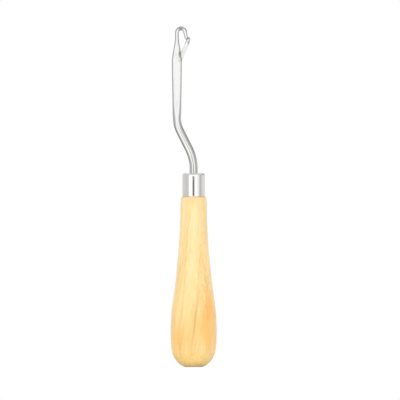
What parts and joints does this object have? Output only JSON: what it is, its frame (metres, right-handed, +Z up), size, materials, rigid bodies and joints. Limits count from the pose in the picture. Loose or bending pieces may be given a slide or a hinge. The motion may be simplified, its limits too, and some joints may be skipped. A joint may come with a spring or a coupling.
{
  "type": "latch hook",
  "caption": "Bent-shank latch hook: turned wooden handle, metal ferrule, cranked steel shank with a crook, and a latch that swings on a rivet.",
  "frame": {"origin": "centre of the flat butt of the handle, on the handle's axis", "axes": "+Z up the handle's axis towards the hook; the hook, its bends and its latch lie in the XZ plane; the shank is set over towards -X and the crook opens towards +X; the latch swings about Y"},
  "size_m": [0.0218, 0.0218, 0.16],
  "materials": {
    "handle_wood": "pale close-grained hardwood, turned, sanded, satin clear lacquer",
    "ferrule_nickel": "drawn steel cup, bright nickel plate with fine handling marks",
    "shank_steel": "round steel rod, bent and pressed flat at the head, bright nickel plate",
    "latch_steel": "pressed spring steel, tumbled smooth"
  },
  "bodies": {
    "tool": {"wooden_handle": "handle_wood", "ferrule": "ferrule_nickel", "hook_shank": "shank_steel", "hook_crook": "shank_steel", "latch_rivet": "latch_steel"},
    "latch": {"latch": "latch_steel"}
  },
  "joints": [
    {"name": "latch_pivot", "type": "hinge", "parent": "tool", "child": "latch", "pos_m": [-0.0067, 0, 0.1437], "axis": [0, 1, 0], "range_deg": [0, 141]}
  ]
}
